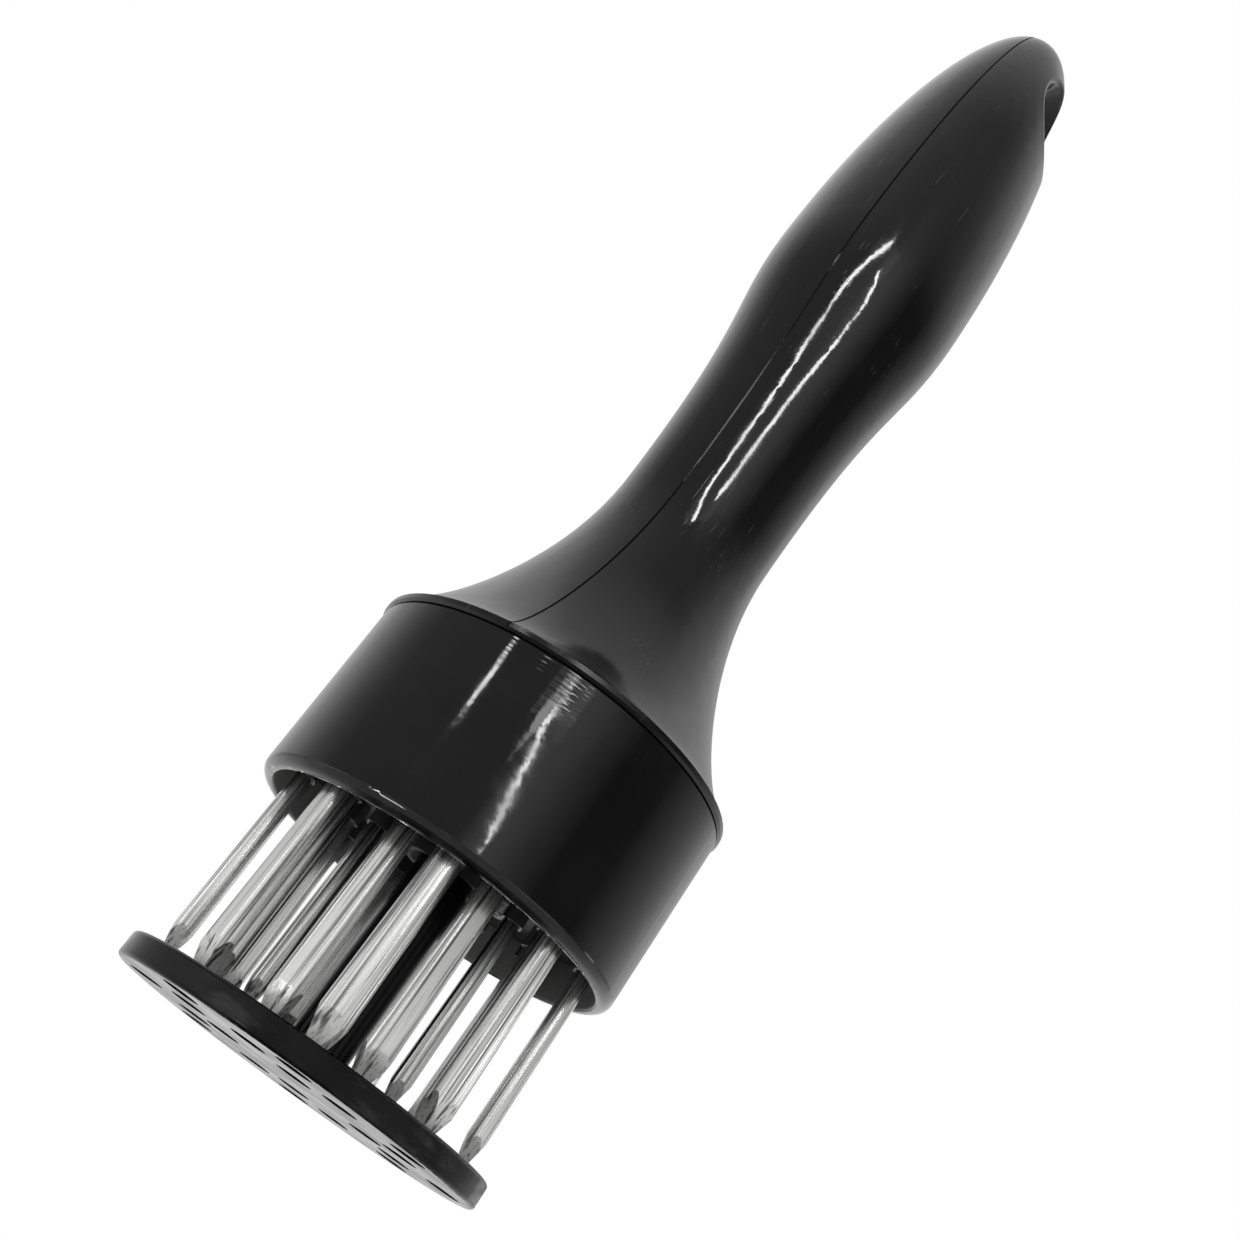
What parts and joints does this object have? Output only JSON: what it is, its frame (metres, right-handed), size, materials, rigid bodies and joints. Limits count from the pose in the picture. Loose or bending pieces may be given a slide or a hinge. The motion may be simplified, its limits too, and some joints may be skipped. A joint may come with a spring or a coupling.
{
  "type": "needle meat tenderizer",
  "caption": "Hand meat tenderizer: bulged black handle, round head with rings of flat steel needles, and a sprung guard plate that slides up over them on a guide post.",
  "frame": {"origin": "on the axis, at the guard plate's underside", "axes": "+Z along the axis from the guard to the handle's end, X along the hang hole, the handle's seam in the YZ plane"},
  "size_m": [0.0556, 0.0556, 0.212],
  "materials": {
    "handle_plastic": "polished black moulding",
    "sleeve_plastic": "polished black moulding",
    "guard_plastic": "polished black moulding, lightly scuffed",
    "holder_plastic": "satin black moulding",
    "backing_plastic": "satin black moulding",
    "needle_steel": "brushed lengthwise",
    "screw_steel": "dull zinc",
    "washer_steel": "plain",
    "spring_steel": "drawn wire"
  },
  "bodies": {
    "handle": {"handle_shell_left": "handle_plastic", "handle_shell_right": "handle_plastic", "head_sleeve": "sleeve_plastic", "needle_holder": "holder_plastic", "backing_plate": "backing_plastic", "holder_screws": "screw_steel", "return_spring": "spring_steel", "needle_outer_1": "needle_steel", "needle_outer_2": "needle_steel", "needle_outer_3": "needle_steel", "needle_outer_4": "needle_steel", "needle_outer_5": "needle_steel", "needle_outer_6": "needle_steel", "needle_outer_7": "needle_steel", "needle_outer_8": "needle_steel", "needle_middle_1": "needle_steel", "needle_middle_2": "needle_steel", "needle_middle_3": "needle_steel", "needle_middle_4": "needle_steel", "needle_middle_5": "needle_steel", "needle_middle_6": "needle_steel", "needle_middle_7": "needle_steel", "needle_middle_8": "needle_steel", "needle_inner_1": "needle_steel", "needle_inner_2": "needle_steel", "needle_inner_3": "needle_steel", "needle_inner_4": "needle_steel"},
    "guard": {"guard_plate": "guard_plastic", "stop_washer": "washer_steel", "post_screw": "screw_steel"}
  },
  "joints": [
    {"name": "guard_slide", "type": "slide", "parent": "handle", "child": "guard", "axis": [0, 0, 1], "range_m": [0, 0.0248], "stiffness_N_per_m": 470, "springref_m": -0.02, "deforming": ["return_spring"]}
  ]
}
